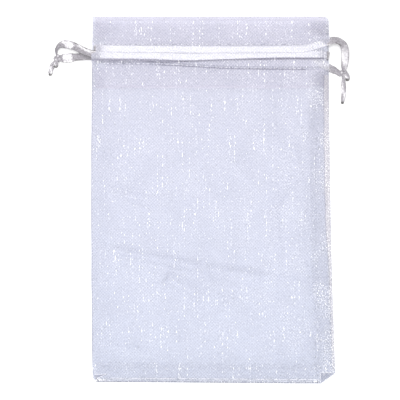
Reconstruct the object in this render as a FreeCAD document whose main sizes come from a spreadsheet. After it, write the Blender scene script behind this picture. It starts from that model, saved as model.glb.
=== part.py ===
import FreeCAD, Part
import math
import os
import Sketcher

# Drawstring gift pouch, lying flat on its back, in millimetres.
# +Z is up, +Y points out of the mouth and the origin is the middle of the pouch on the surface.
# One sheet is folded at the left edge and sewn at the right edge and the bottom. Its top is turned
# in as a hem, and two stitch rows make a ribbon channel across the front and across the back.
# Each ribbon goes once round the channel, comes out of a slit at its own side and is knotted.

DIMENSIONS = [
    ("pouch_width", "102"),
    ("pouch_height", "154"),
    ("cloth_thick", "0.25"),
    ("layer_gap", "0.2"),
    ("mouth_gap", "4.4"),
    ("flank_width", "7"),
    ("right_taper", "2.6"),
    ("bottom_skew", "0.6"),
    ("corner_cut_width", "6.2"),
    ("corner_cut_height", "4.4"),
    ("back_peek", "2.3"),
    ("hem_end", "50.7"),
    ("ribbon_width", "3"),
    ("ribbon_thick", "0.25"),
    ("left_run_y", "60.35"),
    ("right_run_y", "63.65"),
    ("upper_row_y", "65.5"),
    ("lower_row_left_y", "57.1"),
    ("lower_row_right_y", "54.9"),
    ("thread_width", "0.35"),
    ("thread_thick", "0.25"),
    ("seam_inset", "0.8"),
    ("seam_width", "8.5"),
    ("seam_thick", "0.35"),
    ("seam_line", "1.7"),
    ("left_slit_low", "58.4"),
    ("left_slit_high", "65.6"),
    ("right_slit_low", "53.8"),
    ("right_slit_high", "68.4"),
    ("front_run_left_end", "-47"),
    ("front_run_right_end", "36"),
    ("back_run_left_end", "-51"),
    ("back_run_right_end", "35"),
    ("left_turn_x", "-47.2"),
    ("right_turn_x", "45.3"),
    ("knot_length", "3.8"),
    ("knot_height", "2.9"),
    ("tail_width", "2.1"),
]

# The free stretches of each ribbon: the middle of the tape, from the pouch to the knot, and
# from the knot to each cut end. The front strand rises over the slit, and the tape falls from
# the height of the front of the channel to the surface that the pouch lies on.
STRANDS = {
    "left_drawstring_front_strand": [
        (-47.0, 60.35, 6.575),
        (-49.4, 60.35, 6.575),
        (-52.8, 61.9, 6.5),
        (-56.2, 63.7, 6.1),
        (-59.5, 65.8, 5.4),
        (-62.8, 66.3, 4.5),
        (-65.4, 64.8, 3.5),
        (-66.2, 62.3, 2.5),
        (-65.8, 60.5, 1.9),
    ],
    "left_drawstring_back_strand": [
        (-51.0, 60.35, 1.025),
        (-54.2, 60.35, 1.025),
        (-58.4, 60.15, 1.1),
        (-61.9, 59.7, 1.2),
        (-64.6, 59.65, 1.3),
    ],
    "right_drawstring_front_strand": [
        (36.0, 63.65, 6.575),
        (38.8, 63.65, 6.575),
        (43.2, 64.7, 6.575),
        (47.4, 66.2, 6.5),
        (51.2, 67.5, 6.3),
        (54.5, 66.3, 5.7),
        (55.6, 63.0, 5.0),
        (55.6, 59.6, 4.2),
        (55.3, 56.6, 3.1),
        (54.9, 54.3, 2.0),
    ],
    "right_drawstring_back_strand": [
        (35.0, 63.65, 0.575),
        (38.0, 63.65, 0.575),
        (42.0, 61.0, 0.575),
        (45.8, 57.8, 0.575),
        (49.2, 56.0, 0.6),
        (51.9, 55.2, 0.9),
        (53.8, 54.0, 1.3),
    ],
}
TAILS = {
    "left_drawstring_long_tail": [
        (-66.4, 58.9, 1.2),
        (-67.7, 57.0, 1.0),
        (-68.6, 54.8, 0.8),
        (-68.9, 52.4, 0.5),
    ],
    "left_drawstring_short_tail": [
        (-65.9, 58.7, 2.1),
        (-66.3, 57.3, 2.0),
        (-66.6, 55.7, 1.7),
    ],
    "right_drawstring_long_tail": [
        (54.6, 52.2, 1.2),
        (54.7, 49.4, 1.0),
        (54.9, 46.6, 0.8),
        (54.7, 43.6, 0.6),
        (54.2, 40.5, 0.5),
    ],
    "right_drawstring_short_tail": [
        (55.8, 53.6, 2.5),
        (56.4, 52.0, 2.4),
        (56.2, 50.1, 2.0),
    ],
}
KNOTS = {
    "left_drawstring_knot": (-65.6, 59.65, 1.5),
    "right_drawstring_knot": (54.8, 53.4, 1.5),
}
ARC_SHARE = 0.45  # how much of the shorter run beside a corner its arc takes up

doc = FreeCAD.newDocument("drawstring_gift_pouch")
dims = doc.addObject("Spreadsheet::Sheet", "dims")
for row, (alias, number) in enumerate(DIMENSIONS, start=1):
    dims.set(f"A{row}", alias)
    dims.set(f"B{row}", number)
    dims.setAlias(f"B{row}", alias)
doc.recompute()

# Heights of the layers, from the surface up: back of the pouch, two ribbon runs, back hem,
# the open middle, front hem, the ribbon runs of the front, and the front of the pouch.
RIGHT_BACK_RUN_Z = "(dims.cloth_thick + dims.layer_gap)"
LEFT_BACK_RUN_Z = f"({RIGHT_BACK_RUN_Z} + dims.ribbon_thick + dims.layer_gap)"
BACK_HEM_Z = f"({LEFT_BACK_RUN_Z} + dims.ribbon_thick + dims.layer_gap)"
FRONT_HEM_Z = f"({BACK_HEM_Z} + dims.cloth_thick + dims.mouth_gap)"
FRONT_RUN_Z = f"({FRONT_HEM_Z} + dims.cloth_thick + dims.layer_gap)"
CROWN_Z = f"({FRONT_RUN_Z} + dims.ribbon_thick + dims.layer_gap)"
TOP_Z = f"({CROWN_Z} + dims.cloth_thick)"

LEFT_X = "-dims.pouch_width / 2"
RIGHT_X = "dims.pouch_width / 2"
BOTTOM_Y = "-dims.pouch_height / 2"
BACK_TOP_Y = "dims.pouch_height / 2"
FRONT_TOP_Y = "(dims.pouch_height / 2 - dims.back_peek)"
CUT_TOP_Y = "(dims.corner_cut_height - dims.pouch_height / 2)"
HEM_INSET = "(dims.flank_width + dims.layer_gap)"
HEM_LEFT_X = f"({HEM_INSET} - dims.pouch_width / 2)"
HEM_RIGHT_X = f"(dims.pouch_width / 2 - dims.right_taper - {HEM_INSET})"
SLOPE = f"(dims.flank_width / ({TOP_Z} - dims.cloth_thick))"
WALL = f"(dims.cloth_thick * sqrt(1 + {SLOPE} * {SLOPE}))"


def value(expression):
    """The number that an expression about the sheet gives."""
    return float(dims.evalExpression(expression))


def origin_plane(body, role):
    for feature in body.Origin.OriginFeatures:
        if feature.Role == role:
            return feature
    raise RuntimeError(f"{body.Label} has no plane {role}")


def new_body(label):
    body = doc.addObject("PartDesign::Body", label)
    body.Label = label
    return body


def polygon_sketch(body, name, corners, height=None, plane="XY_Plane"):
    """A closed sketch of straight sides; each corner is a pair of expressions."""
    sketch = body.newObject("Sketcher::SketchObject", name)
    sketch.AttachmentSupport = [(origin_plane(body, plane), "")]
    sketch.MapMode = "FlatFace"
    if height:
        sketch.setExpression("AttachmentOffset.Base.z", height)
    points = [FreeCAD.Vector(value(x), value(y), 0) for x, y in corners]
    count = len(points)
    for side in range(count):
        sketch.addGeometry(Part.LineSegment(points[side], points[(side + 1) % count]))
    for side in range(count):
        sketch.addConstraint(Sketcher.Constraint("Coincident", side, 2, (side + 1) % count, 1))
    for side, corner in enumerate(corners):
        for kind, size in zip(("DistanceX", "DistanceY"), corner):
            rule = Sketcher.Constraint(kind, -1, 1, side, 1, value(size))
            number = sketch.addConstraint(rule)
            sketch.setExpression(f"Constraints[{number}]", size)
    return sketch


def padded_polygon(label, corners, height, thickness):
    """A flat sheet or strip, level with the surface that the pouch lies on."""
    body = new_body(label)
    sketch = polygon_sketch(body, f"{label}_outline", corners, height)
    pad = body.newObject("PartDesign::Pad", f"{label}_pad")
    pad.Profile = sketch
    pad.setExpression("Length", thickness)
    sketch.Visibility = False
    return body


def block(label, lows, sizes):
    """A straight bar from its low corner and its three sizes, all as expressions."""
    box = doc.addObject("Part::Box", label)
    box.Label = label
    for side, size in zip(("Length", "Width", "Height"), sizes):
        box.setExpression(side, size)
    for axis, low in zip("xyz", lows):
        box.setExpression(f"Placement.Base.{axis}", low)
    return box


def right_edge_x(y):
    """Where the right edge is at a height y: it leans in towards the mouth."""
    share = f"(({y}) - {CUT_TOP_Y}) / ({BACK_TOP_Y} - {CUT_TOP_Y})"
    return f"({RIGHT_X} - dims.right_taper * {share})"


def outline(top, inset="0", past_top="0"):
    """Corners of the pouch seen from above, moved in from its edges but not from its mouth."""
    cut_share = f"(1 - 0.5 * ({inset}) / dims.flank_width)"
    top_y = f"{top} + {past_top}"
    return [
        (f"{LEFT_X} + {inset}", top_y),
        (f"{LEFT_X} + {inset}", f"{BOTTOM_Y} + dims.bottom_skew + {inset}"),
        (f"{RIGHT_X} - {inset} - dims.corner_cut_width * {cut_share}", f"{BOTTOM_Y} + {inset}"),
        (f"{RIGHT_X} - {inset}", f"{BOTTOM_Y} + {inset} + dims.corner_cut_height * {cut_share}"),
        (f"{RIGHT_X} - dims.right_taper - {inset}", top_y),
    ]


def loft(body, kind, name, low, high):
    feature = body.newObject(f"PartDesign::{kind}", name)
    feature.Profile = low
    feature.Sections = [high]
    feature.Ruled = True
    return feature


def cut_slit(body, name, near_x, far_x, low, high):
    """A slit through one flank, where the ribbons come out."""
    corners = [(near_x, low), (far_x, low), (far_x, high), (near_x, high)]
    sketch = polygon_sketch(body, f"{name}_outline", corners)
    pocket = body.newObject("PartDesign::Pocket", name)
    pocket.Profile = sketch
    pocket.Type = "ThroughAll"
    pocket.Reversed = True
    return pocket


def make_front_panel():
    """The front: a low tray, flat on top, whose flanks come down to the back all round."""
    body = new_body("front_panel")
    low_z = "dims.cloth_thick"
    outer_low = polygon_sketch(body, "outer_low", outline(FRONT_TOP_Y), low_z)
    outer_high = polygon_sketch(
        body, "outer_high", outline(FRONT_TOP_Y, "dims.flank_width"), TOP_Z
    )
    loft(body, "AdditiveLoft", "outer_loft", outer_low, outer_high)
    inner_top = f"(dims.flank_width - dims.cloth_thick * {SLOPE} + {WALL})"
    inner_low = polygon_sketch(body, "inner_low", outline(FRONT_TOP_Y, WALL, "1"), low_z)
    inner_high = polygon_sketch(
        body, "inner_high", outline(FRONT_TOP_Y, inner_top, "1"), CROWN_Z
    )
    loft(body, "SubtractiveLoft", "inner_loft", inner_low, inner_high)
    cut_slit(
        body, "left_slit", f"{LEFT_X} - 1", HEM_LEFT_X,
        "dims.left_slit_low", "dims.left_slit_high",
    )
    cut_slit(
        body, "right_slit", HEM_RIGHT_X, f"{RIGHT_X} + 1",
        "dims.right_slit_low", "dims.right_slit_high",
    )
    return body


def make_hem_facing(label, top, plate_z, lip_z, lip_height):
    """A hem turned in at the mouth: a level strip with a short lip at its fold."""
    body = padded_polygon(
        label,
        [
            (HEM_LEFT_X, "dims.hem_end"),
            (HEM_RIGHT_X, "dims.hem_end"),
            (HEM_RIGHT_X, f"{top} - dims.cloth_thick"),
            (HEM_LEFT_X, f"{top} - dims.cloth_thick"),
        ],
        plate_z,
        "dims.cloth_thick",
    )
    lip_outline = polygon_sketch(
        body,
        f"{label}_lip_outline",
        [
            (HEM_LEFT_X, f"{top} - 2 * dims.cloth_thick"),
            (HEM_RIGHT_X, f"{top} - 2 * dims.cloth_thick"),
            (HEM_RIGHT_X, f"{top} - dims.cloth_thick"),
            (HEM_LEFT_X, f"{top} - dims.cloth_thick"),
        ],
        lip_z,
    )
    lip = body.newObject("PartDesign::Pad", f"{label}_lip")
    lip.Profile = lip_outline
    lip.setExpression("Length", lip_height)
    return body


def make_stitch_row(label, left_y, right_y, right_x, low_z, high_z):
    """A row of stitches across the pouch, which joins the hem to the panel beside it."""
    corners = [
        (HEM_LEFT_X, left_y),
        (right_x, right_y),
        (right_x, f"{right_y} + dims.thread_width"),
        (HEM_LEFT_X, f"{left_y} + dims.thread_width"),
    ]
    return padded_polygon(label, corners, low_z, f"{high_z} - {low_z}")


def side_strip(label, inset, width, low_y, high_y, low_z, thickness):
    """A strip beside the right edge, between two heights y."""
    outer_low = f"{right_edge_x(low_y)} - ({inset})"
    outer_high = f"{right_edge_x(high_y)} - ({inset})"
    corners = [
        (f"{outer_low} - {width}", low_y),
        (outer_low, low_y),
        (outer_high, high_y),
        (f"{outer_high} - {width}", high_y),
    ]
    return padded_polygon(label, corners, low_z, thickness)


def bottom_strip(label, inset, width, low_z, thickness):
    """A strip beside the bottom edge, from the fold to the cut corner."""
    left_x = f"({LEFT_X} + dims.flank_width / 2)"
    right_x = f"({RIGHT_X} - dims.corner_cut_width - 2 * dims.seam_inset)"
    left_y = f"({BOTTOM_Y} + dims.bottom_skew + {inset})"
    right_y = f"({BOTTOM_Y} + {inset} + dims.bottom_skew * 0.1)"
    corners = [
        (left_x, left_y),
        (right_x, right_y),
        (right_x, f"{right_y} + {width}"),
        (left_x, f"{left_y} + {width}"),
    ]
    return padded_polygon(label, corners, low_z, thickness)


def make_run(label, run_y, left_x, right_x, low_z):
    """A straight stretch of ribbon inside the channel."""
    return block(
        label,
        (left_x, f"{run_y} - dims.ribbon_width / 2", low_z),
        (f"{right_x} - ({left_x})", "dims.ribbon_width", "dims.ribbon_thick"),
    )


def make_turn(label, run_y, centre_x, back_z, opens_left):
    """A half tube of ribbon that joins the back run to the front run at the far side."""
    middle_z = f"(({back_z} + {FRONT_RUN_Z} + dims.ribbon_thick) / 2)"
    outer_radius = f"(({FRONT_RUN_Z} + dims.ribbon_thick - {back_z}) / 2)"
    facing = FreeCAD.Rotation(FreeCAD.Vector(0, 1, 0), 0 if opens_left else 180)
    lie_along_y = FreeCAD.Rotation(FreeCAD.Vector(1, 1, 1), 240)
    tubes = []
    for part_name, radius in (
        ("outer", outer_radius),
        ("inner", f"{outer_radius} - dims.ribbon_thick"),
    ):
        tube = doc.addObject("Part::Cylinder", f"{label}_{part_name}")
        tube.Angle = 180
        tube.setExpression("Radius", radius)
        tube.setExpression("Height", "dims.ribbon_width")
        tube.Placement = FreeCAD.Placement(FreeCAD.Vector(), facing.multiply(lie_along_y))
        tube.setExpression("Placement.Base.x", centre_x)
        tube.setExpression("Placement.Base.y", f"{run_y} - dims.ribbon_width / 2")
        tube.setExpression("Placement.Base.z", middle_z)
        tubes.append(tube)
    turn = doc.addObject("Part::Cut", label)
    turn.Label = label
    turn.Base, turn.Tool = tubes
    return turn


def rounded_path(label, points):
    """Straight runs joined by tangent arcs, and the smallest radius among the arcs."""
    corners = [FreeCAD.Vector(*point) for point in points]
    edges = []
    radii = []
    start = corners[0]
    for before, corner, after in zip(corners, corners[1:], corners[2:]):
        back = before - corner
        ahead = after - corner
        reach = ARC_SHARE * min(back.Length, ahead.Length)
        turn = math.pi - back.getAngle(ahead)
        back.normalize()
        ahead.normalize()
        arc_start = corner + back * reach
        arc_end = corner + ahead * reach
        radius = reach / math.tan(turn / 2)
        radii.append(radius)
        inward = back + ahead
        inward.normalize()
        to_centre = math.hypot(radius, reach)
        middle = corner + inward * (to_centre - radius)
        edges.append(Part.LineSegment(start, arc_start).toShape())
        edges.append(Part.Arc(arc_start, middle, arc_end).toShape())
        start = arc_end
    edges.append(Part.LineSegment(start, corners[-1]).toShape())
    path = Part.Wire(edges)
    rounded = ", ".join(f"{radius:.1f}" for radius in radii)
    print(f"{label}: length {path.Length:.1f}, radii {rounded}")
    return path


def make_tape(label, points, width):
    """A flat ribbon swept along its route with its broad side up."""
    path = rounded_path(label, points)
    thick = value("dims.ribbon_thick")
    start = FreeCAD.Vector(*points[0])
    along = FreeCAD.Vector(*points[1]) - start
    along.normalize()
    across = FreeCAD.Vector(0, 0, 1).cross(along)
    across.normalize()
    up = along.cross(across)
    half_width = across * (width / 2)
    half_thick = up * (thick / 2)
    section = Part.makePolygon(
        [
            start - half_width - half_thick,
            start + half_width - half_thick,
            start + half_width + half_thick,
            start - half_width + half_thick,
            start - half_width - half_thick,
        ]
    )
    sweep = Part.BRepOffsetAPI.MakePipeShell(path)
    sweep.setBiNormalMode(FreeCAD.Vector(0, 0, 1))
    sweep.add(section, False, False)
    sweep.build()
    sweep.makeSolid()
    tape = doc.addObject("Part::Feature", label)
    tape.Label = label
    tape.Shape = sweep.shape()
    tape.Placement = FreeCAD.Placement()
    expected = width * thick * path.Length
    print(f"{label}: volume {tape.Shape.Volume:.3f}, section x length {expected:.3f}")
    return tape


def make_knot(label, centre):
    knot = doc.addObject("Part::Ellipsoid", label)
    knot.Label = label
    knot.setExpression("Radius1", "dims.knot_height / 2")
    knot.setExpression("Radius2", "dims.knot_length / 2")
    knot.setExpression("Radius3", "dims.knot_length / 2")
    knot.Placement.Base = FreeCAD.Vector(*centre)
    return knot


def make_fabric():
    back = padded_polygon("back_panel", outline(BACK_TOP_Y), "0", "dims.cloth_thick")
    front_hem = make_hem_facing(
        "front_hem_facing", FRONT_TOP_Y, FRONT_HEM_Z, FRONT_HEM_Z, f"{CROWN_Z} - {FRONT_HEM_Z}"
    )
    back_hem = make_hem_facing(
        "back_hem_facing", BACK_TOP_Y, BACK_HEM_Z, "dims.cloth_thick", BACK_HEM_Z
    )
    return [back, make_front_panel(), front_hem, back_hem]


def make_seams():
    """The seam allowances inside the right edge and the bottom, and the thread on them."""
    low_z = "dims.cloth_thick"
    thread_z = "(dims.cloth_thick + dims.seam_thick)"
    seam_low = f"({BOTTOM_Y} + 2 * dims.seam_inset + dims.seam_width)"
    seam_high = "(dims.right_slit_low - 0.3)"
    frill_low = "(dims.right_slit_high + 0.3)"
    frill_high = f"({FRONT_TOP_Y} - dims.seam_inset)"
    return [
        side_strip(
            "side_seam_allowance", "dims.seam_inset", "dims.seam_width",
            seam_low, seam_high, low_z, "dims.seam_thick",
        ),
        side_strip(
            "frill_seam_allowance", "dims.seam_inset", "dims.seam_width",
            frill_low, frill_high, low_z, "dims.seam_thick",
        ),
        bottom_strip(
            "bottom_seam_allowance", "dims.seam_inset", "dims.seam_width",
            low_z, "dims.seam_thick",
        ),
        side_strip(
            "side_seam_stitch", "dims.seam_line", "dims.thread_width",
            seam_low, seam_high, thread_z, "dims.thread_thick",
        ),
        side_strip(
            "frill_seam_stitch", "dims.seam_line", "dims.thread_width",
            frill_low, frill_high, thread_z, "dims.thread_thick",
        ),
        bottom_strip(
            "bottom_seam_stitch", "dims.seam_line", "dims.thread_width",
            thread_z, "dims.thread_thick",
        ),
    ]


def make_channel_stitches():
    upper = "dims.upper_row_y"
    low_left = "dims.lower_row_left_y"
    low_right = "dims.lower_row_right_y"
    front_low = f"({FRONT_HEM_Z} + dims.cloth_thick)"
    rows = [
        ("front_upper_stitch", upper, upper, "dims.front_run_right_end", front_low, CROWN_Z),
        ("front_lower_stitch", low_left, low_right, HEM_RIGHT_X, front_low, CROWN_Z),
        ("back_upper_stitch", upper, upper, HEM_RIGHT_X, "dims.cloth_thick", BACK_HEM_Z),
        ("back_lower_stitch", low_left, low_right, HEM_RIGHT_X, "dims.cloth_thick", BACK_HEM_Z),
    ]
    return [make_stitch_row(*row) for row in rows]


def make_drawstrings():
    """Two ribbons: the left one turns at the right edge, the right one at the left edge."""
    pieces = [
        make_run(
            "left_drawstring_front_run", "dims.left_run_y",
            "dims.front_run_left_end", "dims.right_turn_x", FRONT_RUN_Z,
        ),
        make_run(
            "left_drawstring_back_run", "dims.left_run_y",
            "dims.back_run_left_end", "dims.right_turn_x", LEFT_BACK_RUN_Z,
        ),
        make_run(
            "right_drawstring_front_run", "dims.right_run_y",
            "dims.left_turn_x", "dims.front_run_right_end", FRONT_RUN_Z,
        ),
        make_run(
            "right_drawstring_back_run", "dims.right_run_y",
            "dims.left_turn_x", "dims.back_run_right_end", RIGHT_BACK_RUN_Z,
        ),
        make_turn(
            "left_drawstring_turn", "dims.left_run_y", "dims.right_turn_x", LEFT_BACK_RUN_Z, True
        ),
        make_turn(
            "right_drawstring_turn", "dims.right_run_y", "dims.left_turn_x", RIGHT_BACK_RUN_Z, False
        ),
    ]
    for routes, width in ((STRANDS, "dims.ribbon_width"), (TAILS, "dims.tail_width")):
        pieces += [make_tape(label, route, value(width)) for label, route in routes.items()]
    pieces += [make_knot(label, centre) for label, centre in KNOTS.items()]
    return pieces


def check_document():
    doc.recompute()
    for item in doc.Objects:
        if "Invalid" in item.State or "Error" in item.State:
            raise RuntimeError(f"{item.Label} failed: {item.State}")


def export(pieces):
    for piece in pieces:
        if piece.Shape.isNull() or not piece.Shape.isValid():
            raise RuntimeError(f"{piece.Label} has no valid shape")
        if len(piece.Shape.Solids) != 1:
            raise RuntimeError(f"{piece.Label} has {len(piece.Shape.Solids)} solids")
    os.makedirs("parts", exist_ok=True)
    for piece in pieces:
        piece.Shape.exportStep(f"parts/{piece.Label}.step")
        print(f"{piece.Label}: {piece.Shape.Volume:.2f} mm3")


sub_parts = make_fabric() + make_seams() + make_channel_stitches() + make_drawstrings()
check_document()
export(sub_parts)
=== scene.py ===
import math
import random

import bpy
from mathutils import Matrix, Vector, noise


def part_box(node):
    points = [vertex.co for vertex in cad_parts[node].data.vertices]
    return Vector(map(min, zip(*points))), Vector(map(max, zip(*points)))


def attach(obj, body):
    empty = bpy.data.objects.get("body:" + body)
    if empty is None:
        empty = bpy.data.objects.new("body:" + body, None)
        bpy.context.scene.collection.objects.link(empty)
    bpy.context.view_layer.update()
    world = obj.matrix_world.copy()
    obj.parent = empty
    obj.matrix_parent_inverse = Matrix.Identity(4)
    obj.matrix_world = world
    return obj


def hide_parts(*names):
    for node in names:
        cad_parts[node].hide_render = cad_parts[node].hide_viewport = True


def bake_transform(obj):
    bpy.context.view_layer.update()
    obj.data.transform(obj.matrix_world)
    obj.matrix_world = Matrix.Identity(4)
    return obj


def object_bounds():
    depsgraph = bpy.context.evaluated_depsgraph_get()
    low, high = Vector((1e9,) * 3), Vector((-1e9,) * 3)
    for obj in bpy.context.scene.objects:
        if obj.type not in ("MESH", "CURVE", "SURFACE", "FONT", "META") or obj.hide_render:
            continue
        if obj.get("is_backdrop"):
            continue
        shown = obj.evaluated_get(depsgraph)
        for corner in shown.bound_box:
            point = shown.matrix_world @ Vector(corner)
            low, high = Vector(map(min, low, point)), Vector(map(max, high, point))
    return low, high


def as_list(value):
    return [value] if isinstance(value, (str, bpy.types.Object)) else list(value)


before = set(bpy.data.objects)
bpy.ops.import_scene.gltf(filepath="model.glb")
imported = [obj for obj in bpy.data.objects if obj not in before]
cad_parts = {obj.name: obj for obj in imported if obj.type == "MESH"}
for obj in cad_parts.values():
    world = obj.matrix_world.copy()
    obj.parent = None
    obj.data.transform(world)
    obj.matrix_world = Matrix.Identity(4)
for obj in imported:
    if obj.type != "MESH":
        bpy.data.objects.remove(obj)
cad_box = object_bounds()

# ------------------------------ sizes
# Shapes are worked out in millimetres in the frame of the part and made in metres.
MM = 0.001


def box_mm(node):
    low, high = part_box(node)
    return low / MM, high / MM


BACK_LOW, BACK_HIGH = box_mm("back_panel")
FRONT_HIGH = box_mm("front_panel")[1]
HEM_LOW, HEM_HIGH = box_mm("front_hem_facing")
UPPER_ROW_LOW = box_mm("front_upper_stitch")[0]
LOWER_ROW_LOW, LOWER_ROW_HIGH = box_mm("front_lower_stitch")
SEAM_LOW, SEAM_HIGH = box_mm("bottom_seam_allowance")

# The outline: a fold at the left that bows out, and a sewn edge at the right that leans in
# towards the top and whose bottom corner is folded away.
LEFT_X = BACK_LOW.x
LEFT_BOW = 0.6
RIGHT_X = BACK_HIGH.x + 0.5
RIGHT_TAPER = 2.9
TAPER_POWER = 2.2
CORNER_CUT_X = 6.2
CORNER_CUT_Y = 4.5
CORNER_RADIUS = 2.0
TOP_RADIUS = 2.0
BOTTOM_Y = BACK_LOW.y - 0.35
BOTTOM_SKEW = 0.6  # how much higher the bottom is at the left
BACK_TOP_Y = BACK_HIGH.y + 0.4
FRONT_TOP_Y = FRONT_HIGH.y + 0.4
HEM_END_Y = HEM_LOW.y - 3.0
UPPER_ROW_Y = UPPER_ROW_LOW.y - 0.35
LOWER_ROW_LEFT_Y = LOWER_ROW_HIGH.y - 0.2
LOWER_ROW_RIGHT_Y = LOWER_ROW_LOW.y + 0.2
LEFT_NOTCH = 1.9  # how far the ribbon's opening reaches in from the edge
RIGHT_NOTCH = 1.2
LEFT_SLIT = (58.6, 65.4, 3.2)  # where the slit's arch is full height, and how it fades
RIGHT_SLIT = (57.2, 67.6, 4.2)

# How far in from an edge the front takes to come up to its full height.
NECK_REACH = 7.5
BODY_EXTRA_REACH = 7.0
FRILL_EXTRA_REACH = 6.0
BOTTOM_REACH = 15.0
BACK_REACH = 3.0

CHANNEL_HEIGHT = FRONT_HIGH.z - 0.2
NECK_HEIGHT = CHANNEL_HEIGHT - 0.75
BODY_HEIGHT = 4.6
EDGE_HEIGHT = 0.3
RIBBON_WIDTH = 3.15
RIBBON_THICK = 0.16
TAIL_WIDTH = 2.1

# The left drawstring's middle in the front of the channel: level, with a dip and then a climb.
LEFT_RIBBON_Y = 60.75
RIBBON_DIP_X = -12.0
RIBBON_DIP = 0.8
RIBBON_DIP_REACH = 15
RIBBON_CLIMB = 0.45


def clamp(number, low=0.0, high=1.0):
    return max(low, min(high, number))


def ease(low, high, number):
    """0 at low, 1 at high and smooth between them; low may be the larger of the two."""
    share = clamp((number - low) / (high - low))
    return share * share * (3 - 2 * share)


def window(number, low, high, fade):
    return ease(low - fade, low, number) * (1 - ease(high, high + fade, number))


def ripple(x, y, seed=0.0):
    """Smooth noise from about -1 to 1."""
    return noise.noise(Vector((x, y, seed)))


# ------------------------------ cloth shape
def bottom_y(x):
    return BOTTOM_Y + BOTTOM_SKEW * (1 - ease(LEFT_X, RIGHT_X, x))


def left_edge_x(y):
    rise = y - bottom_y(LEFT_X)
    corner = 0.0
    if rise < CORNER_RADIUS:
        corner = CORNER_RADIUS - math.sqrt(max(0, CORNER_RADIUS**2 - (CORNER_RADIUS - rise) ** 2))
    bow = LEFT_BOW * math.sin(math.pi * clamp((y - BOTTOM_Y) / (BACK_TOP_Y - BOTTOM_Y)))
    return LEFT_X + corner - bow + 0.12 * ripple(y / 14, 3.1)


def right_edge_x(y):
    share = clamp((BACK_TOP_Y - y) / (BACK_TOP_Y - BOTTOM_Y))
    edge = RIGHT_X - RIGHT_TAPER * (1 - share**TAPER_POWER) + 0.1 * ripple(y / 17, 7.7)
    drop = BACK_TOP_Y - y
    if drop < TOP_RADIUS:
        edge -= TOP_RADIUS - math.sqrt(max(0, TOP_RADIUS**2 - (TOP_RADIUS - drop) ** 2))
    cut_share = (y - bottom_y(RIGHT_X)) / CORNER_CUT_Y
    if cut_share < 1:
        edge = min(edge, RIGHT_X - CORNER_CUT_X * (1 - cut_share))
    return edge


def lower_row_y(x):
    """The lower stitch row slants down to the right, most of it in the middle."""
    share = 0.35 * clamp((x - HEM_LOW.x) / (HEM_HIGH.x - HEM_LOW.x)) + 0.65 * ease(-28, 12, x)
    return LOWER_ROW_LEFT_Y + (LOWER_ROW_RIGHT_Y - LOWER_ROW_LEFT_Y) * share


def rise_from_edge(distance, reach):
    """0 at an edge and 1 from reach inside it, round like the side of a cushion."""
    return math.sin(math.pi / 2 * clamp(distance / reach)) ** 0.85


def loft_share(x, y):
    """How far the front stands off the back: 0 at the fold and the seams, 1 inside them."""
    reach = NECK_REACH + BODY_EXTRA_REACH * ease(48, 20, y) + FRILL_EXTRA_REACH * ease(67, 74, y)
    left = rise_from_edge(x - left_edge_x(y), reach)
    right = rise_from_edge(right_edge_x(y) - x, reach)
    left = 1 - (1 - left) * (1 - window(y, *LEFT_SLIT))
    right = 1 - (1 - right) * (1 - window(y, *RIGHT_SLIT))
    return left * right * rise_from_edge(y - bottom_y(x), BOTTOM_REACH)


def lower_ribbon_y(x):
    """Where the middle of the left drawstring lies in the front of the channel."""
    dip = math.exp(-(((x - RIBBON_DIP_X) / RIBBON_DIP_REACH) ** 2))
    return LEFT_RIBBON_Y - RIBBON_DIP * dip + RIBBON_CLIMB * ease(5, 34, x)


def channel_low_y(x):
    """The lowest that the left drawstring's edge comes, as its dip is pulled to the left."""
    return lower_ribbon_y(max(x, RIBBON_DIP_X)) - RIBBON_WIDTH / 2


def over_ribbons(x, y):
    """1 where the front lies on the two ribbons, and 0 above and below them."""
    low = channel_low_y(x)
    return ease(low - 0.7, low - 0.12, y) * (1 - ease(UPPER_ROW_Y - 0.2, UPPER_ROW_Y + 2.2, y))


def in_channel(x, y):
    """1 between the two stitch rows, where the back hem stands clear of the back."""
    return window(y, lower_row_y(x) + 1.2, UPPER_ROW_Y - 0.7, 0.9)


def row_pinch(x, y):
    """How far the two stitch rows pull the front down."""
    upper = math.exp(-(((y - UPPER_ROW_Y) / 0.5) ** 2))
    lower = math.exp(-(((y - lower_row_y(x)) / 0.45) ** 2))
    return 0.05 * upper + 0.6 * lower


def puckers(x, y):
    """Small upright folds that run away from the two stitch rows."""
    above = max(0.0, y - UPPER_ROW_Y)
    below = max(0.0, lower_row_y(x) - y)
    fine = ripple(x / 1.6, y / 9, 1.0) + 0.6 * ripple(x / 3.3, y / 14, 2.0)
    reach = math.exp(-below / 4.0) if below else math.exp(-above / 5.0)
    return 0.16 * fine * reach * (1 - 0.8 * in_channel(x, y))


# Soft creases in the front: start, end, depth and width in mm. A negative depth is a ridge.
CREASES = [
    ((-45.0, -20.5), (-2.0, -29.0), 1.55, 2.0),
    ((-4.0, -28.5), (22.0, -32.6), 1.25, 2.0),
    ((20.0, -31.6), (47.5, -36.4), 0.60, 0.8),
    ((-21.0, -32.0), (-3.0, -42.0), 1.35, 2.8),
    ((-2.0, -31.0), (20.0, -35.5), 0.95, 2.6),
    ((-45.0, 3.5), (-22.0, -1.0), 0.85, 2.4),
    ((14.0, 28.0), (45.0, 22.0), 0.50, 1.9),
    ((33.5, 24.0), (36.0, 9.0), -0.6, 1.8),
    ((35.0, 10.0), (25.0, -3.0), -0.7, 1.6),
    ((25.0, -3.0), (28.0, -25.0), -0.65, 1.7),
    ((38.0, -5.0), (47.0, -5.6), 0.9, 1.3),
    ((-49.0, -60.0), (-26.0, -64.5), 0.45, 1.7),
]


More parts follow.
